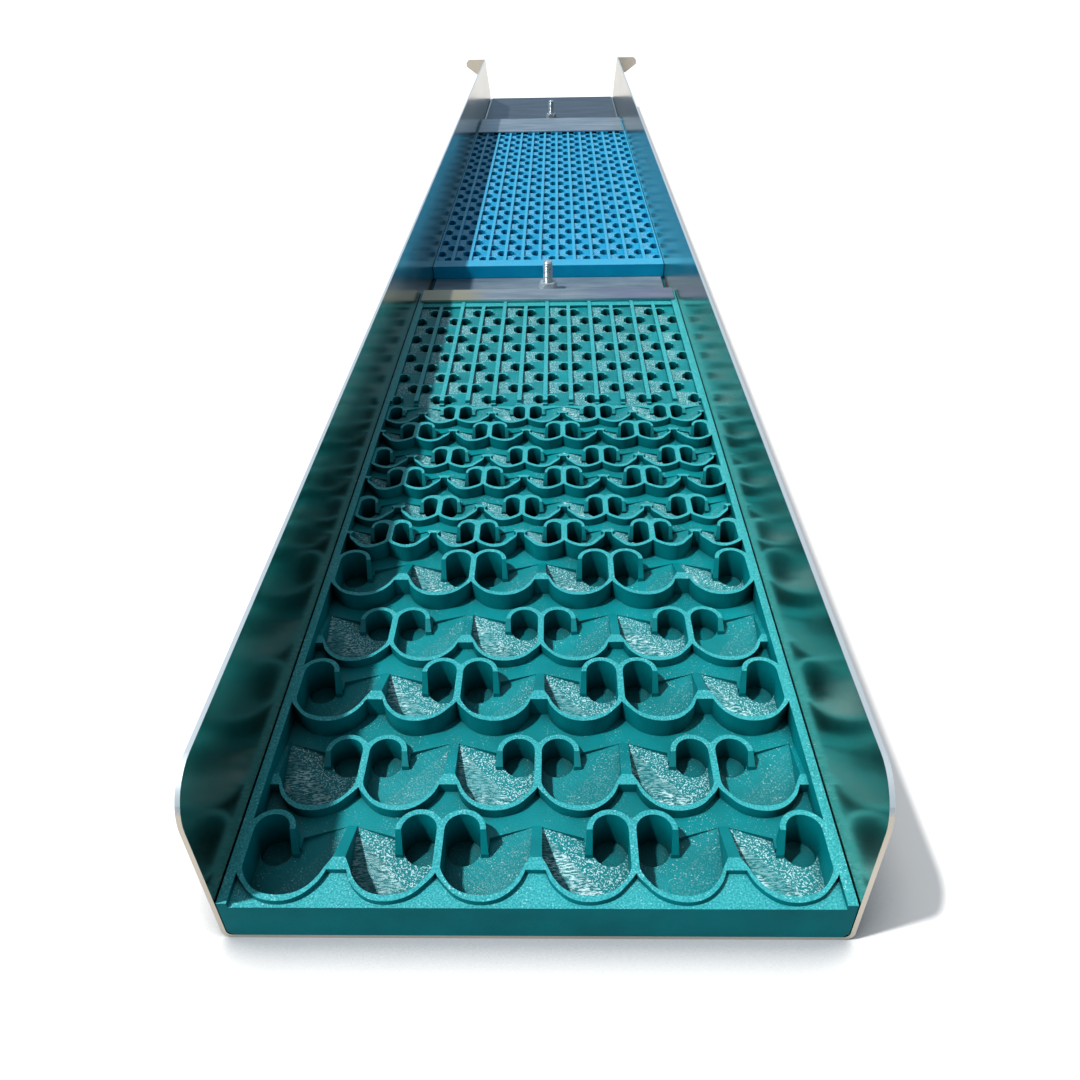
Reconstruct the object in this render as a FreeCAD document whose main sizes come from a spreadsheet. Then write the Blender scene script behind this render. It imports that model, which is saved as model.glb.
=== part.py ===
# Sluice box: a folded steel trough that carries a coarse lower riffle mat and a fine upper
# riffle mat, each held by a folded clamp on a threaded stud with a nut.
# Frame: X across, Y upstream along the length, Z up; origin under the middle of the footprint.
# Lengths in millimetres.
import FreeCAD, Part
import math
import os
from FreeCAD import Vector as V

os.makedirs("parts", exist_ok=True)
doc = FreeCAD.newDocument("sluice_box")

SIZES = [
    ("overall_length", 1094.0), ("inner_width", 151.0), ("sheet_gauge", 1.2), ("wall_height", 54.0),
    ("bend_inside", 1.6), ("wall_top_end", 1026.0), ("exit_corner", 12.0), ("tab_width", 22.0),
    ("tab_depth", 13.0), ("tab_length", 15.0),
    ("mat_gap_side", 0.3), ("mat_foot_chamfer", 1.4), ("lower_mat_length", 394.6), ("lower_mat_depth", 13.5),
    ("rim_side", 2.45), ("large_pitch", 48.5), ("large_row", 28.05), ("large_first", 20.25),
    ("medium_pitch", 32.333), ("medium_row", 19.2), ("medium_first", 152.5),
    ("small_pitch", 24.25), ("small_row", 11.8), ("small_first", 257.9), ("entry_band", 20.4),
    ("large_floor", 6.6), ("large_step", 3.4), ("medium_floor", 4.6), ("medium_step", 1.6), ("medium_last_floor", 2.6),
    ("small_floor", 2.5), ("small_step", 1.2), ("small_rib", 2.0), ("small_pit", 1.9), ("pit_floor", 1.9),
    ("upper_mat_start", 453.2), ("upper_mat_length", 462.3), ("upper_mat_depth", 9.0),
    ("upper_pitch", 23.14), ("upper_row", 11.88), ("upper_first", 16.6), ("upper_row_count", 37.0),
    ("upper_floor", 2.4), ("upper_pit", 1.85),
    ("clamp_gauge", 1.0), ("fit_gap", 0.3),
    ("lower_high_start", 379.0), ("lower_riser", 395.0), ("lower_clamp_end", 452.6), ("lower_clamp_width", 147.0),
    ("lower_stud_place", 432.0),
    ("intake_high_start", 852.0), ("intake_riser", 916.0), ("intake_clamp_end", 1092.0),
    ("intake_clamp_width", 147.0), ("intake_stud_place", 966.0),
    ("stud_width", 6.0), ("stud_height", 19.0), ("stud_collar", 7.6), ("stud_collar_depth", 0.8),
    ("clamp_hole", 8.2), ("nut_flats", 10.0), ("nut_depth", 5.0), ("nut_bore", 6.1),
]
sheet = doc.addObject("Spreadsheet::Sheet", "sizes")
D = {}
for row, (name, value) in enumerate(SIZES, start=1):
    sheet.set("A%d" % row, name)
    sheet.set("B%d" % row, str(value))
    sheet.setAlias("B%d" % row, name)
    D[name] = value
doc.recompute()


def bind(obj, prop, expression):
    obj.setExpression(prop, expression)


HALF = D["overall_length"] / 2


# trough: one folded sheet, a channel with slanted intake ends and a small outward tab on each wall
def box(name, length, width, height, x, y, z):
    b = doc.addObject("Part::Box", name)
    for prop, expr in (("Length", length), ("Width", width), ("Height", height),
                       (".Placement.Base.x", x), (".Placement.Base.y", y), (".Placement.Base.z", z)):
        bind(b, prop, expr)
    return b


outer = box("trough_outer", "sizes.inner_width + 2 * sizes.sheet_gauge", "sizes.overall_length",
            "sizes.wall_height", "-sizes.inner_width / 2 - sizes.sheet_gauge",
            "-sizes.overall_length / 2", "0")
inner = box("trough_inner", "sizes.inner_width", "sizes.overall_length + 2", "sizes.wall_height",
            "-sizes.inner_width / 2", "-sizes.overall_length / 2 - 1", "sizes.sheet_gauge")
doc.recompute()


def long_edges(shape, z, x):
    found = []
    for n, e in enumerate(shape.Edges, start=1):
        a, b = e.Vertexes[0].Point, e.Vertexes[-1].Point
        if abs(a.z - z) < 1e-4 and abs(b.z - z) < 1e-4 and abs(abs(a.x) - x) < 1e-4 and abs(a.y - b.y) > 10:
            found.append(n)
    return found


def fillet(name, base, edges, radius):
    f = doc.addObject("Part::Fillet", name)
    f.Base = base
    f.Edges = [(n, radius, radius) for n in edges]
    return f


half_in = D["inner_width"] / 2
outer_round = fillet("trough_outer_round", outer, long_edges(outer.Shape, 0, half_in + D["sheet_gauge"]),
                     D["bend_inside"] + D["sheet_gauge"])
inner_round = fillet("trough_inner_round", inner, long_edges(inner.Shape, D["sheet_gauge"], half_in), D["bend_inside"])
channel = doc.addObject("Part::Cut", "trough_channel")
channel.Base, channel.Tool = outer_round, inner_round
doc.recompute()


def slab(points, thickness, axis):
    wire = Part.makePolygon(points + [points[0]])
    return Part.Face(wire).extrude(axis * thickness)


def profile_cut():
    # the side profile: walls end on a slant at the intake and carry a rounded corner at the exit
    w, h = D["inner_width"] + 40, D["wall_height"]
    top_end = D["wall_top_end"] - HALF
    x0 = -w / 2
    rear = slab([V(x0, top_end, h), V(x0, HALF, 3.2), V(x0, HALF + 5, 3.2), V(x0, HALF + 5, h + 5),
                 V(x0, top_end, h + 5)], w, V(1, 0, 0))
    r = D["exit_corner"]
    arc = Part.Arc(V(x0, -HALF, h - r), V(x0, -HALF + r * (1 - math.cos(math.pi / 4)), h - r * (1 - math.sin(math.pi / 4))),
                   V(x0, -HALF + r, h)).toShape()
    edges = [arc, Part.makeLine(V(x0, -HALF + r, h), V(x0, -HALF + r, h + 5)),
             Part.makeLine(V(x0, -HALF + r, h + 5), V(x0, -HALF - 5, h + 5)),
             Part.makeLine(V(x0, -HALF - 5, h + 5), V(x0, -HALF - 5, h - r)),
             Part.makeLine(V(x0, -HALF - 5, h - r), V(x0, -HALF, h - r))]
    front = Part.Face(Part.Wire(edges)).extrude(V(w, 0, 0))
    return rear, front


rear, front = profile_cut()
cut_rear = doc.addObject("Part::Feature", "trough_rear_slant")
cut_rear.Shape = rear
cut_front = doc.addObject("Part::Feature", "trough_exit_corners")
cut_front.Shape = front
trimmed = doc.addObject("Part::Cut", "trough_trimmed")
trimmed.Base, trimmed.Tool = channel, cut_rear
trimmed2 = doc.addObject("Part::Cut", "trough_trimmed_exit")
trimmed2.Base, trimmed2.Tool = trimmed, cut_front


def tab(side):
    # a tab folded outward from the intake end of a wall, just below its top corner
    g, w = D["sheet_gauge"], D["tab_width"]
    x = side * half_in
    y1 = D["wall_top_end"] - HALF
    h = D["wall_height"]
    pts = [V(x, y1, h), V(x + side * (w - 3), y1, h), V(x + side * w, y1, h - 3), V(x + side * w, y1, h - 7),
           V(x + side * w * 0.5, y1, h - 15.0), V(x, y1, h - 19.0)]
    return Part.Face(Part.makePolygon(pts + [pts[0]])).extrude(V(0, -g, 0))


tabs = []
for side, label in ((-1, "left"), (1, "right")):
    t = doc.addObject("Part::Feature", "trough_tab_" + label)
    t.Shape = tab(side)
    tabs.append(t)
trough = doc.addObject("Part::MultiFuse", "trough_fold")
trough.Shapes = [trimmed2] + tabs


# riffle mats
def arc3(a, m, b):
    return Part.Arc(a, m, b).toShape()


def line(a, b):
    return Part.makeLine(a, b)


def large_up(k, p):
    # upstream outline of the right half of a ram's-horn pair, from the notch to the peak centre
    hx, r, ro, st, s = 5.5 * k, 4.55 * k, 6.0 * k, 0.95 * k, 0.3 * k
    e = []
    shoulder = V(1.3 * k, s + math.sqrt(ro * ro - (hx - 1.3 * k) ** 2), 0)
    e.append(line(V(0, 3.3 * k, 0), shoulder))
    e.append(arc3(shoulder, V(hx, s + ro, 0), V(hx + ro, s, 0)))
    e.append(line(V(hx + ro, s, 0), V(hx + r, s, 0)))
    e.append(arc3(V(hx + r, s, 0), V(hx, s + r, 0), V(hx - r, s, 0)))
    e.append(line(V(st, s, 0), V(st, -9.6 * k, 0)))
    e.append(spline(large_inner(k), V(0, -1, 0), V(0.45, 1, 0)))
    e.append(line(V(21.3 * k, -10.2 * k, 0), V(22.75 * k, -7.6 * k, 0)))
    e.append(line(V(22.75 * k, -7.6 * k, 0), V(p / 2, -7.6 * k, 0)))
    return e


def large_inner(k):
    # inner edge of the scallop, from the stem to the foot of the peak
    pts = [(0.95, -9.6), (2.0, -12.7), (4.5, -15.75), (7.8, -17.4), (11.4, -17.9), (15.3, -17.2), (18.5, -15.0),
           (20.4, -12.3), (21.3, -10.2)]
    return [V(x * k, y * k, 0) for x, y in pts]


def large_down(k, p):
    # downstream outline of the same half, from the cusp to the peak centre
    pts = [(0.0, -11.9), (2.0, -14.6), (4.5, -17.2), (8.0, -19.0), (11.6, -19.5), (15.3, -18.8), (18.4, -16.7),
           (20.6, -14.0), (21.8, -11.1)]
    return [spline([V(x * k, y * k, 0) for x, y in pts], V(0.5, -1, 0), V(0.35, 1, 0)),
            line(V(21.8 * k, -11.1 * k, 0), V(p / 2, -11.1 * k, 0))]


def spline(points, t0, t1):
    c = Part.BSplineCurve()
    c.interpolate(Points=points, InitialTangent=t0, FinalTangent=t1)
    return c.toShape()


def medium_up(k, p):
    # the same half in the medium rows: oblong holes, wide stems and bell-shaped peaks
    e = [arc3(V(0, 4.1, 0), V(3.9, 5.1, 0), V(7.6, 0.4, 0)), line(V(7.6, 0.4, 0), V(7.6, 0, 0)),
         line(V(7.6, 0, 0), V(6.55, 0, 0)), arc3(V(6.55, 0, 0), V(3.8, 3.25, 0), V(1.03, 0, 0)),
         line(V(1.03, 0, 0), V(1.03, -6.6, 0))]
    e.append(spline(medium_inner(p), V(0, -1, 0), V(1, 0, 0)))
    return e


def medium_inner(p):
    return [V(1.03, -6.6, 0), V(2.6, -9.1, 0), V(4.8, -10.3, 0), V(7.5, -10.6, 0), V(10.3, -9.5, 0), V(12.6, -6.6, 0),
            V(14.4, -3.5, 0), V(p / 2, -1.8, 0)]


def medium_down(k, p):
    return [spline([V(0, -8.3, 0), V(2.5, -10.6, 0), V(4.7, -11.8, 0), V(7.5, -12.3, 0), V(10.4, -11.2, 0),
                    V(12.9, -8.2, 0), V(14.8, -4.9, 0), V(p / 2, -3.3, 0)], V(0.6, -1, 0), V(1, 0, 0))]


def mirrored(edges):
    m = FreeCAD.Matrix()
    m.A11 = -1
    return [e.transformGeometry(m) for e in reversed(edges)]


def place(edges, x, y):
    out = []
    for e in edges:
        c = e.copy()
        c.translate(V(x, y, 0))
        out.append(c)
    return out


def row_halves(width, p, start_centre):
    # half cells from the left wall: start_centre says whether the wall carries a pair centre or a peak
    halves, x, centre = [], -width / 2, start_centre
    while x < width / 2 - 1e-6:
        halves.append((x, "right") if centre else (x + p / 2, "left"))
        x += p / 2
        centre = not centre
    return halves


def row_line(fn, k, p, width, start_centre, y):
    edges = []
    for cx, kind in row_halves(width, p, start_centre):
        base = fn(k, p)
        edges += place(base if kind == "right" else mirrored(base), cx, y)
    return edges


def ends(edges):
    # first point at the left wall and last point at the right wall of an outline
    pts = [v.Point for e in (edges[0], edges[-1]) for v in e.Vertexes]
    left = min(pts, key=lambda q: q.x)
    right = max(pts, key=lambda q: q.x)
    return left, right


def band(up_edges, down_edges, z0, z1):
    # the floor between the front of one row and the walls of the next one downstream
    ul, ur = ends(up_edges)
    dl, dr = ends(down_edges)
    edges = up_edges + [line(ur, dr)] + down_edges + [line(dl, ul)]
    wire = Part.Wire(Part.__sortEdges__(edges))
    face = Part.Face(wire)
    face.translate(V(0, 0, z0))
    return face.extrude(V(0, 0, z1 - z0))


def above(plane_point, fall, slope, size):
    # everything above a plane through plane_point that falls along the unit direction fall
    n = V(fall[0] * slope, fall[1] * slope, 1)
    n.normalize()
    b = Part.makeBox(size, size, size, V(-size / 2, -size / 2, 0))
    rot = FreeCAD.Rotation(V(0, 0, 1), n)
    b.Placement = FreeCAD.Placement(plane_point, rot)
    return b


def pocket(k, p, z_start, z_top, kind):
    # the spiral pocket of the right half of a pair: two sloping floors that meet on a diagonal crease
    if kind == "large":
        out, st = p / 2 - 1.3 * k, 0.95 * k
        edges = [line(V(st, -0.6 * k, 0), V(st, -9.6 * k, 0)), spline(large_inner(k), V(0, -1, 0), V(0.45, 1, 0)),
                 line(V(21.3 * k, -10.2 * k, 0), V(22.75 * k, -7.6 * k, 0)), line(V(22.75 * k, -7.6 * k, 0), V(out, -7.6 * k, 0)),
                 line(V(out, -7.6 * k, 0), V(out, 5.7 * k, 0)),
                 line(V(out, 5.7 * k, 0), V(12.0 * k, 2.4 * k, 0)), line(V(12.0 * k, 2.4 * k, 0), V(12.0 * k, -0.6 * k, 0)),
                 line(V(12.0 * k, -0.6 * k, 0), V(st, -0.6 * k, 0))]
        corner = V(p / 2, 5.7 * k, z_start)
    else:
        edges = [line(V(1.03, -0.4, 0), V(1.03, -6.6, 0)), spline(medium_inner(p), V(0, -1, 0), V(1, 0, 0)),
                 line(V(p / 2, -1.8, 0), V(p / 2, 4.6, 0)), line(V(p / 2, 4.6, 0), V(8.2, 2.4, 0)),
                 line(V(8.2, 2.4, 0), V(8.2, -0.4, 0)), line(V(8.2, -0.4, 0), V(1.03, -0.4, 0))]
        corner = V(p / 2, 4.6, z_start)
    face = Part.Face(Part.Wire(Part.__sortEdges__(edges)))
    face.translate(V(0, 0, z_start - 6))
    prism = face.extrude(V(0, 0, z_top - z_start + 6))
    outer_slope = above(corner, (0.25, -0.97), 0.24, 200)
    inner_slope = above(corner, (-0.75, -0.66), 0.124, 200)
    return prism.common(outer_slope).fuse(prism.common(inner_slope)).removeSplitter()


def wedge(low, high, z_low, z_high, z_foot):
    # a rib whose top falls from the edge high (two points) to the edge low (two points)
    a, b = V(high[0][0], high[0][1], z_high), V(high[1][0], high[1][1], z_high)
    c, d = V(low[1][0], low[1][1], z_low), V(low[0][0], low[0][1], z_low)
    a0, b0, c0, d0 = (V(q.x, q.y, z_foot) for q in (a, b, c, d))
    faces = []
    for loop in ((a, b, c), (a, c, d), (a0, c0, b0), (a0, d0, c0), (a, a0, b0), (a, b0, b), (b, b0, c0), (b, c0, c),
                 (c, c0, d0), (c, d0, d), (d, d0, a0), (d, a0, a)):
        faces.append(Part.Face(Part.makePolygon(list(loop) + [loop[0]])))
    s = Part.Solid(Part.Shell(faces))
    if s.Volume < 0:
        s.reverse()
    return s


def copies(shape, halves, y):
    m = FreeCAD.Matrix()
    m.A11 = -1
    left = shape.transformGeometry(m)
    out = []
    for cx, kind in halves:
        c = (shape if kind == "right" else left).copy()
        c.translate(V(cx, y, 0))
        out.append(c)
    return out


def row_cutter(kind, k, p, width, start_centre, y, up_front, z_top, z_rim, floor, z_pit):
    # everything removed from the mat for one row
    z_start = z_top - floor
    fn = large_up if kind == "large" else medium_up
    halves = row_halves(width, p, start_centre)
    up = row_line(fn, k, p, width, start_centre, y)
    body = band(up, up_front, z_start, z_top + 2)
    if kind == "large":
        pit = Part.makeCylinder(4.55 * k, z_top + 2 - z_pit, V(5.5 * k, 0.3 * k, z_pit))
        leg = wedge([(10.0 * k, -2.2 * k), (12.0 * k, -2.2 * k)], [(10.05 * k, 0.35 * k), (11.5 * k, 0.35 * k)],
                    z_start - 0.4, z_rim, z_pit)
        rib = wedge([(p / 2 - 1.3 * k, 5.8 * k), (p / 2, 5.8 * k)], [(p / 2 - 1.5 * k, -7.7 * k), (p / 2, -7.7 * k)],
                    z_start + 0.3, z_rim, z_pit)
        keep = copies(leg, halves, y) + copies(rib, halves, y)
    else:
        hole = Part.Wire([arc3(V(6.55, 0, 0), V(3.8, 3.25, 0), V(1.03, 0, 0)), line(V(1.03, 0, 0), V(1.03, -1.2, 0)),
                          arc3(V(1.03, -1.2, 0), V(3.8, -3.6, 0), V(6.55, -1.2, 0)), line(V(6.55, -1.2, 0), V(6.55, 0, 0))])
        pit = Part.Face(hole)
        pit.translate(V(0, 0, z_pit))
        pit = pit.extrude(V(0, 0, z_top + 2 - z_pit))
        leg = wedge([(6.6, -2.0), (8.3, -2.0)], [(6.6, 0.05), (7.65, 0.05)], z_start - 0.4, z_rim, z_pit)
        keep = copies(leg, halves, y)
    pockets = copies(pocket(k, p, z_start, z_start + 1.0, kind), halves, y)
    body = body.fuse(copies(pit, halves, y) + pockets)
    return body.cut(keep), up


def mat_blank(wide, y0, length, z0, depth):
    # the two long lower edges are chamfered to sit clear of the trough's bends
    blank = Part.makeBox(wide, length, depth, V(-wide / 2, y0, z0))
    feet = [e for e in blank.Edges if all(abs(v.Point.z - z0) < 1e-6 for v in e.Vertexes)
            and abs(e.Vertexes[0].Point.x - e.Vertexes[1].Point.x) < 1e-6]
    return blank.makeChamfer(D["mat_foot_chamfer"], feet)


def lower_mat_shape():
    length, depth = D["lower_mat_length"], D["lower_mat_depth"]
    z0 = D["sheet_gauge"]
    zt = z0 + depth
    wide = D["inner_width"] - 2 * D["mat_gap_side"]
    field = wide - 2 * D["rim_side"]
    base = mat_blank(wide, -HALF, length, z0, depth)
    z_pit = z0 + D["pit_floor"]
    cutters, lowered = [], []
    y0 = -HALF
    pl, pm, ps = field / 3, field / 4.5, field / 6
    kl, km = pl / 48.5, pm / 48.5
    # rows from the upstream end of the medium field down to the exit
    entry = y0 + length - D["entry_band"]
    y_small_end = y0 + D["small_first"] - 4.0
    front = [line(V(-field / 2, y_small_end, 0), V(field / 2, y_small_end, 0))]
    for n in range(6, 0, -1):
        y = y0 + D["medium_first"] + (n - 1) * D["medium_row"]
        tall = n % 2 == 1
        zr = zt if tall else zt - D["medium_step"]
        start = not tall
        depth_here = D["medium_last_floor"] if n == 6 else D["medium_floor"]
        body, up = row_cutter("medium", km, pm, field, start, y, front, zt, zr, depth_here, z_pit)
        cutters.append(body)
        front = row_line(medium_down, km, pm, field, start, y)
        if not tall:
            lowered.append((up, front, zr))
    for n in range(5, 0, -1):
        y = y0 + D["large_first"] + (n - 1) * D["large_row"]
        tall = n % 2 == 1
        zr = zt if tall else zt - D["large_step"]
        body, up = row_cutter("large", kl, pl, field, tall, y, front, zt, zr, D["large_floor"], z_pit)
        cutters.append(body)
        front = row_line(large_down, kl, pl, field, tall, y)
        if not tall:
            lowered.append((up, front, zr))
    # the strip in front of the last row
    strip = [line(V(-field / 2, y0 - 1, 0), V(field / 2, y0 - 1, 0))]
    cutters.append(band(strip, front, zt - 1.6, zt + 2))
    # every second row stands lower than the rims
    for up, down, zr in lowered:
        ul, ur = ends(up)
        dl, dr = ends(down)
        y_hi = max(q.BoundBox.YMax for q in up) + 0.4
        y_lo = min(q.BoundBox.YMin for q in down) - 0.4
        cutters.append(Part.makeBox(field, y_hi - y_lo, 30, V(-field / 2, y_lo, zr)))
    # between its ribs the entry band is a little lower, up to the clamp's flange
    y_flange = D["lower_high_start"] - 0.4 - HALF
    for n in range(6):
        cutters.append(Part.makeBox(ps - D["small_rib"], y_flange - entry + 2.3, 30,
                                    V(-field / 2 + n * ps + D["small_rib"] / 2, entry - 2.3, zt - 0.6)))
    s = base
    for c in cutters:
        s = s.cut(c)
    # the first small row ends where the medium field begins
    row = D["small_row"]
    cells = [small_cutter(ps, row, zt, D["small_floor"], z_pit, D["small_pit"], front)
             for front in (-4.0, -0.42 * row)]
    return cut_small_rows(s, ps, row, 10, y0 + D["small_first"], field, True, cells)


def small_cutter(p, row, zt, floor, z_pit, r, front):
    # a small round pit beside a rib, an arch that stands behind it and a floor that falls towards it
    rib, start, back = D["small_rib"] / 2, D["small_step"], 0.66 * row
    w = p / 2 - rib
    cx = rib + r - 0.05
    prism = Part.makeBox(w - rib, back - front, floor + 8, V(rib, front, zt - floor - 2))
    slope = (floor - start) / (0.45 * (w - cx) + 0.89 * (back + r))
    scoop = prism.common(above(V(w, back, zt - start), (-0.45, -0.89), slope, 100))
    arch = Part.makeCylinder(r + 1.0, floor + 12, V(cx, 0, zt - floor - 4))
    arch = arch.common(Part.makeBox(20, 20, 60, V(0, -0.3, zt - floor - 10)))
    pit = Part.makeCylinder(r, zt + 2 - z_pit, V(cx, 0, z_pit))
    return scoop.cut(arch).fuse(pit).removeSplitter()


def cut_small_rows(shape, p, row, count, first, width, centre_first, cells):
    # neighbouring rows overlap, so that every second row is cut in a pass of its own
    for start in (0, 1):
        tools = []
        for n in range(start, count, 2):
            halves = row_halves(width, p, (n % 2 == 0) == centre_first)
            tools += copies(cells[min(n, 1)], halves, first + n * row)
        shape = shape.cut(Part.makeCompound(tools))
    return shape


def upper_mat_shape():
    length, depth = D["upper_mat_length"], D["upper_mat_depth"]
    z0 = D["sheet_gauge"]
    zt = z0 + depth
    wide = D["inner_width"] - 2 * D["mat_gap_side"]
    y0 = D["upper_mat_start"] - HALF
    base = mat_blank(wide, y0, length, z0, depth)
    p = wide / 6.5
    row = D["upper_row"]
    cell = small_cutter(p, row, zt, D["upper_floor"], z0 + D["pit_floor"], D["upper_pit"], -0.42 * row)
    return cut_small_rows(base, p, row, int(D["upper_row_count"]), y0 + D["upper_first"], wide, False, [cell, cell])


lower_mat = doc.addObject("Part::Feature", "lower_mat_print")
lower_mat.Shape = lower_mat_shape()
upper_mat = doc.addObject("Part::Feature", "upper_mat_print")
upper_mat.Shape = upper_mat_shape()


# folded clamps: a sketched step profile padded across the trough, with a hole for the stud
def clamp(name, high_start, riser, low_end, mat_top, width, hole_y, corner):
    import Sketcher
    body = doc.addObject("PartDesign::Body", name)
    sk = body.newObject("Sketcher::SketchObject", name + "_profile")
    sk.AttachmentSupport = [(body.Origin.OriginFeatures[5], "")]
    sk.MapMode = "FlatFace"
    g = D["clamp_gauge"]
    lo = D["sheet_gauge"]
    hi = mat_top + D["fit_gap"]
    r = 1.0
    y = [high_start - HALF, riser - HALF, low_end - HALF]
    pts = [(y[0], hi), (y[1], hi), (y[1], lo), (y[2], lo), (y[2], lo + g), (y[1] + g, lo + g), (y[1] + g, hi + g),
           (y[0], hi + g)]
    ids = []
    for i in range(len(pts)):
        a, b = pts[i], pts[(i + 1) % len(pts)]
        ids.append(sk.addGeometry(Part.LineSegment(V(a[0], a[1], 0), V(b[0], b[1], 0)), False))
    for i in range(len(ids)):
        sk.addConstraint(Sketcher.Constraint("Coincident", ids[i], 2, ids[(i + 1) % len(ids)], 1))
        kind = "Horizontal" if abs(pts[i][1] - pts[(i + 1) % len(pts)][1]) < 1e-9 else "Vertical"
        sk.addConstraint(Sketcher.Constraint(kind, ids[i]))
    pad = body.newObject("PartDesign::Pad", name + "_pad")
    pad.Profile = sk
    pad.Length = width
    pad.Midplane = True
    doc.recompute()
    folds = [("Edge%d" % n) for n, e in enumerate(pad.Shape.Edges, start=1)
             if abs(e.Vertexes[0].Point.y - e.Vertexes[-1].Point.y) < 1e-6
             and abs(e.Vertexes[0].Point.z - e.Vertexes[-1].Point.z) < 1e-6
             and any(abs(e.Vertexes[0].Point.y - q[0]) < 1e-6 and abs(e.Vertexes[0].Point.z - q[1]) < 1e-6
                     for q in (pts[5], pts[6], pts[1]))]
    fold = body.newObject("PartDesign::Fillet", name + "_folds")
    fold.Base = (pad, folds)
    fold.Radius = r
    hs = body.newObject("Sketcher::SketchObject", name + "_hole_sketch")
    hs.AttachmentSupport = [(body.Origin.OriginFeatures[3], "")]
    hs.MapMode = "FlatFace"
    hs.addGeometry(Part.Circle(V(0, hole_y - HALF, 0), V(0, 0, 1), D["clamp_hole"] / 2), False)
    hole = body.newObject("PartDesign::Pocket", name + "_hole")
    hole.Profile = hs
    hole.Type = "ThroughAll"
    hole.Midplane = True
    body.Tip = hole
    doc.recompute()
    return body


lower_clamp = clamp("lower_clamp", D["lower_high_start"], D["lower_riser"], D["lower_clamp_end"],
                    D["sheet_gauge"] + D["lower_mat_depth"], D["lower_clamp_width"], D["lower_stud_place"], 0)
intake_clamp = clamp("intake_clamp", D["intake_high_start"], D["intake_riser"], D["intake_clamp_end"],
                     D["sheet_gauge"] + D["upper_mat_depth"], D["intake_clamp_width"], D["intake_stud_place"], 0)


# studs and nuts, bound to the sheet
def cylinder(name, radius, height, y, z):
    c = doc.addObject("Part::Cylinder", name)
    bind(c, "Radius", radius)
    bind(c, "Height", height)
    bind(c, ".Placement.Base.y", y)
    bind(c, ".Placement.Base.z", z)
    return c


def stud(name, place_name):
    y = "sizes.%s - sizes.overall_length / 2" % place_name
    shank = cylinder(name + "_shank", "sizes.stud_width / 2", "sizes.stud_height - 0.6", y, "sizes.sheet_gauge")
    collar = cylinder(name + "_collar", "sizes.stud_collar / 2", "sizes.stud_collar_depth", y, "sizes.sheet_gauge")
    tip = doc.addObject("Part::Cone", name + "_tip")
    bind(tip, "Radius1", "sizes.stud_width / 2")
    bind(tip, "Radius2", "sizes.stud_width / 2 - 0.6")
    tip.Height = 0.6
    bind(tip, ".Placement.Base.y", y)
    bind(tip, ".Placement.Base.z", "sizes.sheet_gauge + sizes.stud_height - 0.6")
    s = doc.addObject("Part::MultiFuse", name)
    s.Shapes = [shank, collar, tip]
    return s


def nut(name, place_name):
    y = "sizes.%s - sizes.overall_length / 2" % place_name
    z = "sizes.sheet_gauge + sizes.clamp_gauge"
    hexagon = doc.addObject("Part::Prism", name + "_hexagon")
    hexagon.Polygon = 6
    bind(hexagon, "Circumradius", "sizes.nut_flats / sqrt(3)")
    bind(hexagon, "Height", "sizes.nut_depth")
    bind(hexagon, ".Placement.Base.y", y)
    bind(hexagon, ".Placement.Base.z", z)
    shoulder = doc.addObject("Part::Cone", name + "_shoulder")
    bind(shoulder, "Radius1", "sizes.nut_flats / sqrt(3) + 1.6")
    bind(shoulder, "Radius2", "sizes.nut_flats / 2 - 0.1")
    bind(shoulder, "Height", "sizes.nut_depth")
    bind(shoulder, ".Placement.Base.y", y)
    bind(shoulder, ".Placement.Base.z", z)
    crown = doc.addObject("Part::Common", name + "_crown")
    crown.Base, crown.Tool = hexagon, shoulder
    bore = cylinder(name + "_bore", "sizes.nut_bore / 2", "sizes.nut_depth + 2", y, z + " - 1")
    n = doc.addObject("Part::Cut", name)
    n.Base, n.Tool = crown, bore
    return n


lower_stud = stud("lower_stud_body", "lower_stud_place")
intake_stud = stud("intake_stud_body", "intake_stud_place")
lower_nut = nut("lower_nut_body", "lower_stud_place")
intake_nut = nut("intake_nut_body", "intake_stud_place")
doc.recompute()

NODES = [
    ("trough", trough), ("lower_mat", lower_mat), ("upper_mat", upper_mat), ("lower_clamp_bar", lower_clamp),
    ("intake_clamp_plate", intake_clamp), ("lower_clamp_stud", lower_stud), ("intake_clamp_stud", intake_stud),
    ("lower_clamp_nut", lower_nut), ("intake_clamp_nut", intake_nut),
]
for label, obj in NODES:
    obj.Label = label
doc.recompute()

for obj in doc.Objects:
    bad = [s for s in obj.State if s in ("Invalid", "Error")]
    if bad:
        raise RuntimeError("object %s is %s" % (obj.Name, bad))
    shape = getattr(obj, "Shape", None)
    if shape is not None and obj.TypeId not in ("App::Line", "App::Plane", "App::Point", "App::Origin"):
        if shape.isNull() or not shape.isValid():
            raise RuntimeError("shape of %s is null or not valid" % obj.Name)

for label, obj in NODES:
    shape = obj.Shape
    box_ = shape.BoundBox
    print(label, "solids", len(shape.Solids), "faces", len(shape.Faces), "x %.2f %.2f y %.2f %.2f z %.2f %.2f" % (
        box_.XMin, box_.XMax, box_.YMin, box_.YMax, box_.ZMin, box_.ZMax), "cm3 %.1f" % (shape.Volume / 1000))
    shape.exportStep("parts/%s.step" % label)
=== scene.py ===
import math

import bmesh
import bpy
from mathutils import Matrix, Vector


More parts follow.
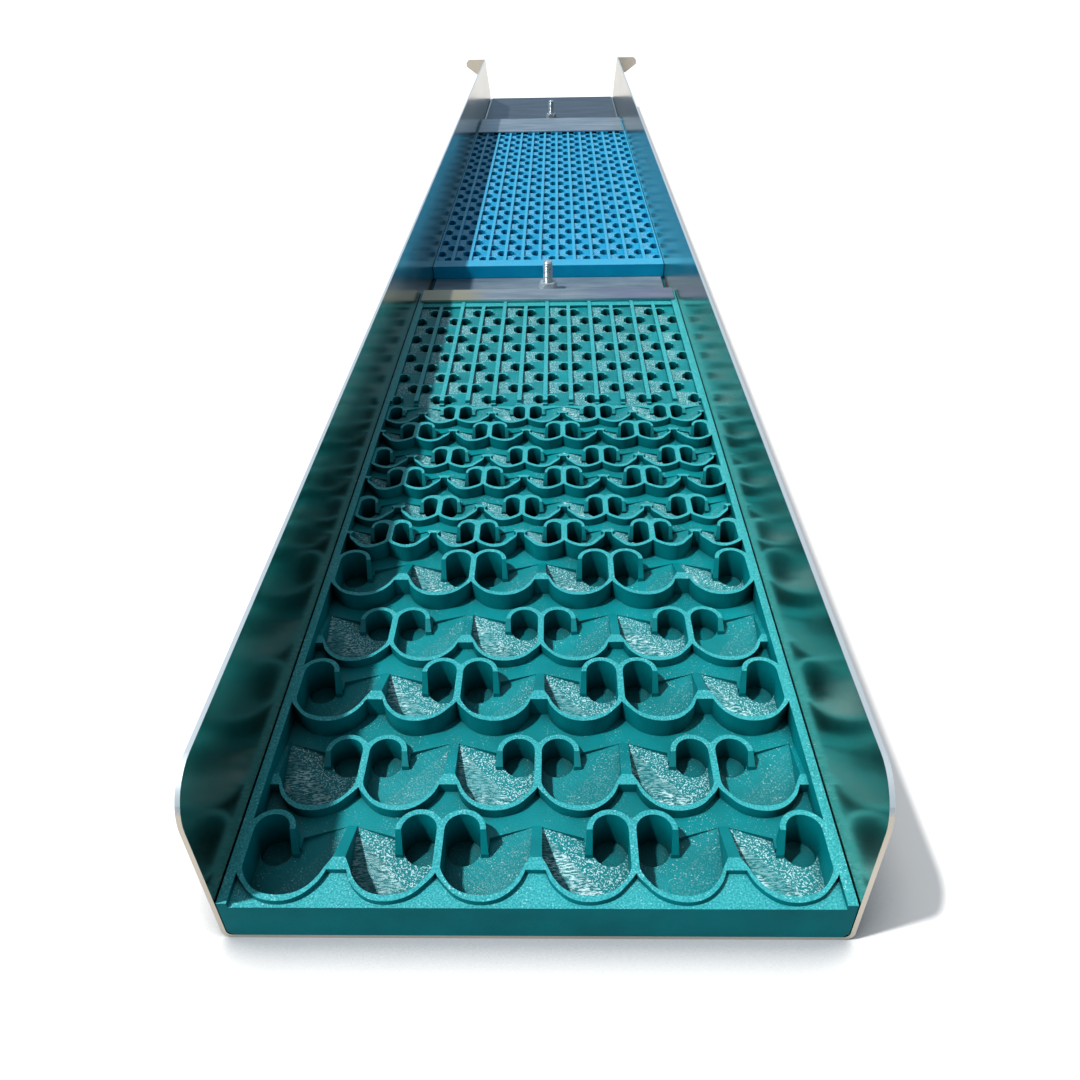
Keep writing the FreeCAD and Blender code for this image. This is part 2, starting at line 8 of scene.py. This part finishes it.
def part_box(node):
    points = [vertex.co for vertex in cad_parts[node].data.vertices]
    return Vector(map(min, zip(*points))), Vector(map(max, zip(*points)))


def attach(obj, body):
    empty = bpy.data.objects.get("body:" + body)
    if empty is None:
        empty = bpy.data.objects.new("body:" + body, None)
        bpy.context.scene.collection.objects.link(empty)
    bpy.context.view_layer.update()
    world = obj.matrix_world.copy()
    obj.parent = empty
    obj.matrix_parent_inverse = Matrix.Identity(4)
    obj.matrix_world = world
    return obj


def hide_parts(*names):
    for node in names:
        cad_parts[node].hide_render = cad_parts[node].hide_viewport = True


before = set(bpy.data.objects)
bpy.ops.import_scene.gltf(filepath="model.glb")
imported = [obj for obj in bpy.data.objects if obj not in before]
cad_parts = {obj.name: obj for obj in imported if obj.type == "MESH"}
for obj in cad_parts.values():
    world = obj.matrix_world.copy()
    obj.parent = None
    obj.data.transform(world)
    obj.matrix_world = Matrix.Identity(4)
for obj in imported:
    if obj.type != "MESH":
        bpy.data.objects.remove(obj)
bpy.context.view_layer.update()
print("stage: frame loaded")

mm = 0.001  # the scene is in metres

# options that many nodes share
times = {"operation": "MULTIPLY"}
plus = {"operation": "ADD"}
minus = {"operation": "SUBTRACT"}
larger = {"operation": "MAXIMUM"}
soft = {"interpolation_type": "SMOOTHSTEP"}
colours = {"data_type": "RGBA"}


# a written sRGB colour as the linear one that shaders take
def linear(code):
    parts = [int(code[i:i + 2], 16) / 255 for i in (1, 3, 5)]
    return [p / 12.92 if p <= 0.04045 else ((p + 0.055) / 1.055) ** 2.4 for p in parts] + [1]


# adds a shader node, sets its options, fills or links its sockets by name or number, and gives its outputs
# Mix takes a factor (0) and two colours (6 and 7), and gives the colour as output 2
def node(tree, kind, sockets=None, **options):
    made = tree.nodes.new("ShaderNode" + kind)
    for name, value in options.items():
        setattr(made, name, value)
    for name, value in (sockets or {}).items():
        if isinstance(value, bpy.types.NodeSocket):
            tree.links.new(value, made.inputs[name])
        else:
            made.inputs[name].default_value = value
    return made.outputs


# sockets of Map Range: a value that goes from start to end is turned to one between the two results
def span(value, ends, results=(0.0, 1.0), unit=1):
    return {0: value, 1: ends[0] * unit, 2: ends[1] * unit, 3: results[0], 4: results[1]}


# a cloudy pattern whose lumps have a real size, in millimetres along X, Y and Z
def lumps(tree, size, detail, roughness=0.5):
    place = node(tree, "TexCoord")["Object"]
    place = node(tree, "Mapping", {"Vector": place, "Scale": [1 / (s * mm) for s in size]})[0]
    sockets = {"Vector": place, "Scale": 1.0, "Detail": detail, "Roughness": roughness}
    return node(tree, "TexNoise", sockets)["Fac"]


# colours along a factor, from (place, colour code) stops in rising order
def fade(tree, factor, stops):
    colour = linear(stops[0][1])
    for (start, _), (end, code) in zip(stops, stops[1:]):
        share = node(tree, "MapRange", span(factor, (start, end)))[0]
        colour = node(tree, "Mix", {0: share, 6: colour, 7: linear(code)}, **colours)[2]
    return colour


# a place on the object, or the way that a face points, with one output for each axis
def axes(tree, kind, output):
    return node(tree, "SeparateXYZ", {0: node(tree, kind)[output]})


def newMaterial(name, sockets=None):
    material = bpy.data.materials.new(name)
    material.use_nodes = True
    shader = material.node_tree.nodes["Principled BSDF"]
    for key, value in (sockets or {}).items():
        shader.inputs[key].default_value = value
    return material, material.node_tree, shader


def paint(nodeName, material):
    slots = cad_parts[nodeName].data.materials
    slots.clear()
    slots.append(material)


# Trough: stainless steel, cold rolled and sheared. It is a bright, soft mirror of the mats. Its top edges
# are matt and painted pale, which partly stands in for a painted highlight. In each finish below, a pair of
# noise values or of slopes says where a look starts and where it is full. A slope is the Z of the way that
# a face
# points: 1 is level and 0 is upright.

troughFinish = {
    "sheet": [(0.25, "#BFB7A9"), (0.75, "#D0C8BA")],
    # matt sheared edge colour, paler than the metal as a painted highlight too
    "cutEdgeAndHighlight": "#DCE7EC",
    "cutAbove": (4, 6),                 # mm: above the floor, only the walls' edges face upwards
    "cutSlope": (0.3, 0.6),
    "rollLines": (0.417, 22.2, 0.417),  # mm, coarser than the real ones, which are too fine to show
    "clouds": (38.5, 111, 38.5),        # mm
    "buckles": (111, 200, 111),         # mm, slow waves of a thin sheet
    "cloudiness": (0.3, 0.7),
    "roughness": (0.15, 0.20),          # of the clear and of the cloudy rolled face
    "lineRoughness": 0.05,
    "edgeRoughness": 0.3,
    "edgeDullness": 0.55,               # how much of its metal look an edge loses
    "lineDepth": 0.02,                  # as a share of the buckles' depth
    "buckleDepth": 0.6,                 # mm
    "buckleStrength": 0.2,
}


def rolledStainless(finish):
    material, tree, shader = newMaterial("Rolled stainless sheet")
    rollLines = lumps(tree, finish["rollLines"], 2.0)
    clouds = lumps(tree, finish["clouds"], 3.0)
    height = axes(tree, "TexCoord", "Object")["Z"]
    facing = axes(tree, "NewGeometry", "True Normal")["Z"]
    above = node(tree, "MapRange", span(height, finish["cutAbove"], unit=mm), **soft)[0]
    upward = node(tree, "MapRange", span(facing, finish["cutSlope"]), **soft)[0]
    cut = node(tree, "Math", {0: upward, 1: above}, **times)[0]
    sheet = fade(tree, clouds, finish["sheet"])
    # the upward cut edges: matt sheared metal, painted pale as a painted highlight as well
    sheet = node(tree, "Mix", {0: cut, 6: sheet, 7: linear(finish["cutEdgeAndHighlight"])}, **colours)[2]
    tree.links.new(sheet, shader.inputs["Base Color"])
    dull = node(tree, "Math", {0: cut, 1: finish["edgeDullness"]}, **times)[0]
    metal = node(tree, "Math", {0: 1.0, 1: dull}, **minus)[0]
    tree.links.new(metal, shader.inputs["Metallic"])
    face = span(clouds, finish["cloudiness"], finish["roughness"])
    face = node(tree, "MapRange", face, **soft)[0]
    lines = node(tree, "Math", {0: rollLines, 1: finish["lineRoughness"]}, **times)[0]
    face = node(tree, "Math", {0: face, 1: lines}, **plus)[0]
    edge = node(tree, "Math", {0: cut, 1: finish["edgeRoughness"]}, **times)[0]
    rough = node(tree, "Math", {0: face, 1: edge}, **plus)[0]
    tree.links.new(rough, shader.inputs["Roughness"])
    buckles = lumps(tree, finish["buckles"], 1.0)
    lines = node(tree, "Math", {0: rollLines, 1: finish["lineDepth"]}, **times)[0]
    relief = node(tree, "Math", {0: lines, 1: buckles}, **plus)[0]
    depth = finish["buckleDepth"] * mm
    bump = {"Height": relief, "Strength": finish["buckleStrength"], "Distance": depth}
    tree.links.new(node(tree, "Bump", bump)[0], shader.inputs["Normal"])
    return material


paint("trough", rolledStainless(troughFinish))


# Clamps: stainless steel, brushed. It is satin and streaked across, tinted straw to the left and violet to
# the right along the top of the lower flange, and darker where the intake plate steps down.

clampFinish = {
    "metallic": 0.6,
    "sheet": [(0.32, "#8E9CA8"), (0.5, "#A6B3BD"), (0.68, "#C0CAD0")],
    "dull": [(0.3, "#434B54"), (0.7, "#69717A")],
    "dullFrom": (366, 374),             # mm along the trough, where the intake plate steps down
    "tintFrom": (14.2, 14.6),           # mm high, just under the top of the lower flange
    "straw": "#C9B88C",                 # a straw tint
    "strawAcross": (-50, -30),          # mm, where it fades out
    "strawShare": (0.75, 0.0),
    "violet": "#8585A8",                # a violet tint
    "violetAcross": (15, 50),           # mm, where it comes in
    "violetShare": (0.0, 0.55),
    "streaks": (33.3, 0.385, 0.385),    # mm, brush marks, coarser than the real ones so that they show
    "stains": (35.7, 6.25, 6.25),       # mm
    "roughness": 0.26,
    "streakRoughness": 0.16,
    "streakStrength": 0.35,
    "streakDepth": 0.04,                # mm
}


def brushedStainless(finish):
    material, tree, shader = newMaterial("Brushed stainless clamp", {"Metallic": finish["metallic"]})
    streaks = lumps(tree, finish["streaks"], 3.0, 0.6)
    stains = lumps(tree, finish["stains"], 4.0, 0.6)
    place = axes(tree, "TexCoord", "Object")
    flange = node(tree, "MapRange", span(place["Z"], finish["tintFrom"], unit=mm), **soft)[0]
    sheet = fade(tree, stains, finish["sheet"])
    for tint in ("straw", "violet"):
        share = span(place["X"], finish[tint + "Across"], finish[tint + "Share"], mm)
        share = node(tree, "MapRange", share, **soft)[0]
        share = node(tree, "Math", {0: flange, 1: share}, **times)[0]
        sheet = node(tree, "Mix", {0: share, 6: sheet, 7: linear(finish[tint])}, **colours)[2]
    # darker colours from where the intake plate steps down
    pastIntakeStep = node(tree, "MapRange", span(place["Y"], finish["dullFrom"], unit=mm), **soft)[0]
    dull = fade(tree, stains, finish["dull"])
    sheet = node(tree, "Mix", {0: pastIntakeStep, 6: sheet, 7: dull}, **colours)[2]
    tree.links.new(sheet, shader.inputs["Base Color"])
    rough = node(tree, "Math", {0: streaks, 1: finish["streakRoughness"]}, **times)[0]
    rough = node(tree, "Math", {0: finish["roughness"], 1: rough}, **plus)[0]
    tree.links.new(rough, shader.inputs["Roughness"])
    depth = finish["streakDepth"] * mm
    bump = {"Height": streaks, "Strength": finish["streakStrength"], "Distance": depth}
    tree.links.new(node(tree, "Bump", bump)[0], shader.inputs["Normal"])
    return material


clampSheet = brushedStainless(clampFinish)
paint("lower_clamp_bar", clampSheet)
paint("intake_clamp_plate", clampSheet)


# Studs and nuts: steel with bright zinc plate, whose milky film keeps the threads and facets pale.

zincFinish = {
    "metallic": 0.35,
    "plate": [(0.3, "#A9B7C0"), (0.7, "#CBD8DF")],
    "film": (2.38, 2.38, 2.38),  # mm, its cloudy spots
    "cloudiness": (0.3, 0.7),
    "roughness": (0.26, 0.40),
    "filmStrength": 0.2,
    "filmDepth": 0.06,           # mm
}


def brightZinc(name, finish):
    material, tree, shader = newMaterial(name, {"Metallic": finish["metallic"]})
    film = lumps(tree, finish["film"], 3.0)
    tree.links.new(fade(tree, film, finish["plate"]), shader.inputs["Base Color"])
    rough = span(film, finish["cloudiness"], finish["roughness"])
    tree.links.new(node(tree, "MapRange", rough, **soft)[0], shader.inputs["Roughness"])
    depth = finish["filmDepth"] * mm
    bump = {"Height": film, "Strength": finish["filmStrength"], "Distance": depth}
    tree.links.new(node(tree, "Bump", bump)[0], shader.inputs["Normal"])
    return material


zincStud = brightZinc("Bright zinc stud", zincFinish)
zincNut = brightZinc("Bright zinc nut", zincFinish)
for where in ("lower", "intake"):
    paint(where + "_clamp_stud", zincStud)
    paint(where + "_clamp_nut", zincNut)


# Mats: plastic, printed in layers. Flat rims are painted pale as a painted sheen. Floors that fall
# downstream and to the left keep their nozzle lines, with painted glints on them and painted shade between
# them, other floors get a few painted glint specks, and deep pits and upright walls get painted shade.

printing = {
    "ior": 1.5,
    "layer": 0.2,                    # mm, height of one printed layer
    "line": 0.45,                    # mm, width of one nozzle line
    "lineStretch": (0.28, 1.25, 0.5),  # how close lines lie along X, Y and Z: they are longest along X
    "clouds": (16.7, 16.7, 16.7),    # mm
    "cloudiness": (0.3, 0.7),
    "patches": (6.67, 9.09, 6.67),   # mm, where the painted glints gather
    "patchiness": (0.40, 0.62),
    "streaks": (0.49, 0.56),         # painted glints on the nozzle lines of a left fall
    "streakShare": (0.3, 1.0),       # between and in the patches
    "specks": (0.53, 0.60),          # painted glints of the grain on a right fall
    "fewSpecks": (0.64, 0.69),       # and on other floors
    "shadedGrooves": (0.38, 0.46),         # painted shade between the nozzle lines
    "shadedGrooveShare": (0.75, 0.0),
    "downstream": (-0.20, -0.15),    # how far a left fall leans along the trough, and how far to the left
    "leftward": (-0.045, -0.03),
    "rightward": (0.02, 0.03),
    "nozzleSlope": (0.6, 0.9),
    "speckSlope": (0.97, 0.98),
    "fewSpecksSlope": (0.90, 0.94),
    "rimSlope": (0.9985, 0.9993),
    "rimSheenRise": 0.15,                  # mm, the rise above the rim height over which the painted rim sheen comes in
    "speckledSheen": (0.35, 0.65),         # how the grain breaks up the painted sheen
    "speckledSheenShare": (0.25, 1.0),
    "pitReach": 11,                  # mm, how near a pit's walls have to be
    "pitSamples": 6,
    "wallSlope": (0.1, 0.5),         # upright walls get painted shade
    "wallShade": (0.3, 0.0),
    "grainRange": (0.3, 0.7),
    "roughness": (0.30, 0.42),
    "sheenSlope": (0.1, 0.6),
    "sheen": (0.06, 0.5),            # the layer ridges of an upright wall scatter nearly all of it
    "lumpSlope": (0.35, 0.85),
    "lumpHeight": 1.6,
    "layerHeight": 0.5,              # as a share of the relief
    "layerEdge": 3.0,                # how sharply a layer ends
    "reliefStrength": 0.5,
    "reliefDepth": 0.2,              # mm
}
lowerMat = {
    "name": "Printed teal green plastic",
    "dark": "#008489", "light": "#009CA3", "rimSheen": "#4CCBD1",
    "paintedGlint": "#D2F8FB", "paintedShade": "#005058", "pitShade": "#00161A",
    "rimHeight": 11.0,        # mm, above which a flat face is a rim
    "pitOpen": (0.12, 0.58),  # share of open sky where the painted pit shade is darkest, and where a floor is clear of it
}
upperMat = {
    "name": "Printed teal blue plastic",
    "dark": "#009CCE", "light": "#06AEDE", "rimSheen": "#50C4EE",
    "paintedGlint": "#ACE0F8", "paintedShade": "#00709A", "pitShade": "#002C46",
    "rimHeight": 9.9,
    "pitOpen": (0.05, 0.38),
}


# where a mat gets painted glints: streaks on the left falls, specks on the right ones and a few elsewhere
def paintedSparkle(tree, leftFall, ridges, grain, side, facing):
    patches = lumps(tree, printing["patches"], 2.0)
    patches = node(tree, "MapRange", span(patches, printing["patchiness"]), **soft)[0]
    tops = node(tree, "MapRange", span(ridges, printing["streaks"]), **soft)[0]
    often = node(tree, "MapRange", span(patches, (0.0, 1.0), printing["streakShare"]), **soft)[0]
    streaks = node(tree, "Math", {0: leftFall, 1: tops}, **times)[0]
    streaks = node(tree, "Math", {0: streaks, 1: often}, **times)[0]
    right = node(tree, "MapRange", span(side, printing["rightward"]), **soft)[0]
    shallow = node(tree, "MapRange", span(facing, printing["speckSlope"]), **soft)[0]
    rightFall = node(tree, "Math", {0: right, 1: shallow}, **times)[0]
    tops = node(tree, "MapRange", span(grain, printing["specks"]), **soft)[0]
    specks = node(tree, "Math", {0: rightFall, 1: tops}, **times)[0]
    floors = node(tree, "MapRange", span(facing, printing["fewSpecksSlope"]), **soft)[0]
    tops = node(tree, "MapRange", span(grain, printing["fewSpecks"]), **soft)[0]
    few = node(tree, "Math", {0: floors, 1: tops}, **times)[0]
    few = node(tree, "Math", {0: few, 1: patches}, **times)[0]
    paintedGlints = node(tree, "Math", {0: streaks, 1: specks}, **larger)[0]
    return node(tree, "Math", {0: paintedGlints, 1: few}, **larger)[0]


# steps of the printed layers, and lumps where a face slopes
def printRelief(tree, height, grain, facing):
    turn = node(tree, "Math", {0: height, 1: 1 / (printing["layer"] * mm)}, **times)[0]
    turn = node(tree, "Math", {0: turn}, operation="FRACT")[0]
    edge = node(tree, "Math", {0: turn, 1: printing["layerEdge"]}, operation="POWER")[0]
    steps = node(tree, "Math", {0: 1.0, 1: edge}, **minus)[0]
    steps = node(tree, "Math", {0: steps, 1: printing["layerHeight"]}, **times)[0]
    sloped = node(tree, "MapRange", span(facing, printing["lumpSlope"]), **soft)[0]
    rough = node(tree, "Math", {0: grain, 1: sloped}, **times)[0]
    rough = node(tree, "Math", {0: rough, 1: printing["lumpHeight"]}, **times)[0]
    relief = node(tree, "Math", {0: steps, 1: rough}, **plus)[0]
    depth = printing["reliefDepth"] * mm
    bump = {"Height": relief, "Strength": printing["reliefStrength"], "Distance": depth}
    return node(tree, "Bump", bump)[0]


def printedPlastic(mat):
    material, tree, shader = newMaterial(mat["name"], {"IOR": printing["ior"]})
    height = axes(tree, "TexCoord", "Object")["Z"]
    normal = axes(tree, "NewGeometry", "True Normal")
    side, along, facing = normal["X"], normal["Y"], normal["Z"]
    clouds = lumps(tree, printing["clouds"], 4.0)
    grain = lumps(tree, [printing["line"]] * 3, 2.0, 0.6)
    ridges = lumps(tree, [printing["line"] / s for s in printing["lineStretch"]], 3.0, 0.65)

    # floors that fall downstream and to the left
    downstream = node(tree, "MapRange", span(along, printing["downstream"], (1.0, 0.0)), **soft)[0]
    left = node(tree, "MapRange", span(side, printing["leftward"], (1.0, 0.0)), **soft)[0]
    floors = node(tree, "MapRange", span(facing, printing["nozzleSlope"]), **soft)[0]
    leftFall = node(tree, "Math", {0: left, 1: downstream}, **times)[0]
    leftFall = node(tree, "Math", {0: leftFall, 1: floors}, **times)[0]

    # flat rims, painted pale as a painted sheen and broken up by the grain
    top = (mat["rimHeight"], mat["rimHeight"] + printing["rimSheenRise"])
    top = node(tree, "MapRange", span(height, top, unit=mm), **soft)[0]
    flat = node(tree, "MapRange", span(facing, printing["rimSlope"]), **soft)[0]
    sheenOnRims = node(tree, "Math", {0: flat, 1: top}, **times)[0]
    speckledSheen = span(grain, printing["speckledSheen"], printing["speckledSheenShare"])
    speckledSheen = node(tree, "MapRange", speckledSheen, **soft)[0]
    sheenOnRims = node(tree, "Math", {0: sheenOnRims, 1: speckledSheen}, **times)[0]

    # painted shade in the grooves between the nozzle lines of a left fall
    shadedGrooves = node(tree, "MapRange", span(ridges, printing["shadedGrooves"], printing["shadedGrooveShare"]), **soft)[0]
    shadedGrooves = node(tree, "Math", {0: leftFall, 1: shadedGrooves}, **times)[0]
    # painted glints: highlights put into the colour
    paintedGlints = paintedSparkle(tree, leftFall, ridges, grain, side, facing)
    # painted shade in pits and recesses, by how much open sky a point sees
    reach = {"Distance": printing["pitReach"] * mm}
    sky = node(tree, "AmbientOcclusion", reach, samples=printing["pitSamples"])["AO"]
    shadedPits = node(tree, "MapRange", span(sky, mat["pitOpen"], (1.0, 0.0)), **soft)[0]
    # painted shade on upright walls, in the groove shade colour
    walls = node(tree, "MapRange", span(facing, printing["wallSlope"], printing["wallShade"]), **soft)[0]

    start, end = printing["cloudiness"]
    body = fade(tree, clouds, [(start, mat["dark"]), (end, mat["light"])])
    # each colour lies over the ones before it: painted shade in the grooves, the painted rim sheen, painted
    # glints, painted pit shade, and the walls' painted shade over all
    layers = [(shadedGrooves, "paintedShade"), (sheenOnRims, "rimSheen"), (paintedGlints, "paintedGlint"), (shadedPits, "pitShade"), (walls, "paintedShade")]
    for share, code in layers:
        body = node(tree, "Mix", {0: share, 6: body, 7: linear(mat[code])}, **colours)[2]
    tree.links.new(body, shader.inputs["Base Color"])
    tree.links.new(printRelief(tree, height, grain, facing), shader.inputs["Normal"])
    rough = span(grain, printing["grainRange"], printing["roughness"])
    tree.links.new(node(tree, "MapRange", rough, **soft)[0], shader.inputs["Roughness"])
    sheen = span(facing, printing["sheenSlope"], printing["sheen"])
    tree.links.new(node(tree, "MapRange", sheen, **soft)[0], shader.inputs["Specular IOR Level"])
    return material


paint("lower_mat", printedPlastic(lowerMat))
paint("upper_mat", printedPlastic(upperMat))
print("stage: materials")


# Threaded studs: sizes in millimetres

stud = {"radius": 3.0, "depth": 0.5, "pitch": 1.0, "columns": 24, "rowsPerTurn": 6, "chamfer": 0.7}
weld = {"radius": 3.8, "top": 3.4, "height": 0.8, "segments": 32}


# a rolled thread: each ring of a rod is pushed in by its place on the helix, over a low weld collar
def threadedStud(name, nodeName):
    low, high = (Vector(corner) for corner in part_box(nodeName))
    centre = (low + high) / 2
    tall, radius = high.z - low.z, stud["radius"] * mm
    rows = round(tall / (stud["pitch"] * mm) * stud["rowsPerTurn"])
    shape = bmesh.new()
    bmesh.ops.create_cone(shape, cap_ends=True, segments=stud["columns"], radius1=radius, radius2=radius,
                          depth=tall, matrix=Matrix.Translation(centre))
    upright = [e for e in shape.edges if abs(e.verts[0].co.z - e.verts[1].co.z) > mm]
    bmesh.ops.subdivide_edges(shape, edges=upright, cuts=rows - 1, use_grid_fill=True)
    for vert in shape.verts:
        away = Vector((vert.co.x - centre.x, vert.co.y - centre.y, 0))
        if away.length < mm:  # the middle of a cap
            continue
        turn = vert.co.z / (stud["pitch"] * mm) - math.atan2(away.y, away.x) / (2 * math.pi)
        paintedShade = abs(turn % 1 - 0.5) * 2 * stud["depth"] * mm
        toTop = high.z - vert.co.z
        chamfer = max(0.0, stud["chamfer"] * mm - toTop)
        away.length = radius - max(paintedShade, chamfer)
        vert.co.x, vert.co.y = centre.x + away.x, centre.y + away.y
    base = Matrix.Translation(Vector((centre.x, centre.y, low.z + weld["height"] * mm / 2)))
    bmesh.ops.create_cone(shape, cap_ends=True, segments=weld["segments"], radius1=weld["radius"] * mm,
                          radius2=weld["top"] * mm, depth=weld["height"] * mm, matrix=base)
    bmesh.ops.recalc_face_normals(shape, faces=shape.faces[:])
    mesh = bpy.data.meshes.new(name)
    shape.to_mesh(mesh)
    shape.free()
    piece = bpy.data.objects.new(name, mesh)
    bpy.context.scene.collection.objects.link(piece)
    mesh.materials.append(zincStud)
    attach(piece, "trough_body")
    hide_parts(nodeName)


threadedStud("lower_threaded_stud", "lower_clamp_stud")
threadedStud("intake_threaded_stud", "intake_clamp_stud")
print("stage: studs")


# Floor: matt white paper. It is seen white, but what it throws back at the object is dim, as from a small
# sheet. A painted glow, seen only by the camera, lightens its shadow, and a painted soft shadow darkens it
# where the object rests.

paper = {
    "reach": 12,                              # m, from the middle to an edge
    "roughness": 0.9,
    "seen": [(0.0, "#FAF7F3"), (1.0, "#FCF9F5")],
    "clouds": (333, 333, 333),                # mm
    "thrownBack": "#828282",
    "paintedContactShadow": "#A8ACB0",
    "underneathReach": 30,                    # mm
    "underneathOpen": (0.5, 0.95),            # share of open sky where it is darkest, and clear
    "underneathSamples": 8,
    "paintedGlow": 0.30,
    "paintedGlowColour": "#FFFFFF",
}


def makeFloor():
    mesh = bpy.data.meshes.new("floor")
    shape = bmesh.new()
    bmesh.ops.create_grid(shape, x_segments=1, y_segments=1, size=paper["reach"])
    shape.to_mesh(mesh)
    shape.free()
    floor = bpy.data.objects.new("floor", mesh)
    bpy.context.scene.collection.objects.link(floor)
    sockets = {"Roughness": paper["roughness"], "Specular IOR Level": 0.0}
    material, tree, shader = newMaterial("Matt white studio floor", sockets)
    rays = node(tree, "LightPath")
    seen = node(tree, "Math", {0: rays["Is Camera Ray"], 1: rays["Is Glossy Ray"]}, **larger)[0]
    seen = node(tree, "Math", {0: seen, 1: rays["Is Transmission Ray"]}, **larger)[0]
    white = fade(tree, lumps(tree, paper["clouds"], 2.0), paper["seen"])
    reach = {"Distance": paper["underneathReach"] * mm}
    sky = node(tree, "AmbientOcclusion", reach, samples=paper["underneathSamples"])["AO"]
    clear = node(tree, "MapRange", span(sky, paper["underneathOpen"]), **soft)[0]
    # painted soft shadow where the object rests
    white = node(tree, "Mix", {0: clear, 6: linear(paper["paintedContactShadow"]), 7: white}, **colours)[2]
    white = node(tree, "Mix", {0: seen, 6: linear(paper["thrownBack"]), 7: white}, **colours)[2]
    tree.links.new(white, shader.inputs["Base Color"])
    # painted glow, seen only by the camera, that lightens the floor's shadow
    paintedGlow = node(tree, "Math", {0: clear, 1: paper["paintedGlow"]}, **times)[0]
    paintedGlow = node(tree, "Math", {0: paintedGlow, 1: rays["Is Camera Ray"]}, **times)[0]
    tree.links.new(paintedGlow, shader.inputs["Emission Strength"])
    shader.inputs["Emission Color"].default_value = linear(paper["paintedGlowColour"])
    mesh.materials.append(material)


# Room: dim and cool, with a brighter band beyond the intake that the clamps mirror. A place in it is a part
# of the direction that one looks in: of its Z for the walls and bandBelow, of its Y for bandBeyond.

room = {
    "walls": [(0.0, "#6F8496"), (0.30, "#778999"), (0.6, "#7A858F"), (1.0, "#7C848B")],
    "band": "#8FAFCB",
    "bandBelow": (0.36, 0.62),
    "bandBeyond": (0.75, 0.95),
    "strength": 1.0,
}


def makeWorld():
    world = bpy.data.worlds.new("studio")
    bpy.context.scene.world = world
    world.use_nodes = True
    tree = world.node_tree
    back = tree.nodes["Background"]
    toward = axes(tree, "TexCoord", "Generated")
    walls = fade(tree, toward["Z"], room["walls"])
    low = node(tree, "MapRange", span(toward["Z"], room["bandBelow"], (1.0, 0.0)), **soft)[0]
    beyond = node(tree, "MapRange", span(toward["Y"], room["bandBeyond"]), **soft)[0]
    band = node(tree, "Math", {0: beyond, 1: low}, **times)[0]
    walls = node(tree, "Mix", {0: band, 6: walls, 7: linear(room["band"])}, **colours)[2]
    tree.links.new(walls, back.inputs["Color"])
    back.inputs["Strength"].default_value = room["strength"]


# Sun: high, from the left and a little from the exit end.

sun = {
    "energy": 3.1,
    "angle": 3.0,                   # degrees across, which softens its shadows
    "travel": (0.45, 0.12, -0.885),
}


def makeSun():
    light = bpy.data.lights.new("key", "SUN")
    light.energy = sun["energy"]
    light.angle = math.radians(sun["angle"])
    lamp = bpy.data.objects.new("key", light)
    bpy.context.scene.collection.objects.link(lamp)
    lamp.rotation_mode = "QUATERNION"
    lamp.rotation_quaternion = Vector(sun["travel"]).to_track_quat("-Z", "Y")


# Camera: close above the exit end, looking up the trough. Sizes are in millimetres.

view = {
    "sensor": 36,
    "lens": 29.323,
    "nearest": 10,
    "farthest": 60000,
    "place": (6.11, -662.33, 204.81),
    "forward": (-0.02156, 0.80647, -0.59088),
    "right": (0.99975, 0.01422, -0.01708),
}


def makeCamera():
    data = bpy.data.cameras.new("camera")
    data.sensor_width = view["sensor"]
    data.lens = view["lens"]
    data.clip_start = view["nearest"] * mm
    data.clip_end = view["farthest"] * mm
    camera = bpy.data.objects.new("camera", data)
    bpy.context.scene.collection.objects.link(camera)
    forward = Vector(view["forward"]).normalized()
    right = Vector(view["right"])
    right = (right - forward * right.dot(forward)).normalized()
    up = right.cross(forward)
    turn = Matrix((right, up, -forward)).transposed().to_4x4()
    camera.matrix_world = Matrix.Translation(Vector(view["place"]) * mm) @ turn
    bpy.context.scene.camera = camera


makeFloor()
makeWorld()
makeSun()
makeCamera()
bpy.context.scene.view_settings.view_transform = "Standard"
print("stage: studio")
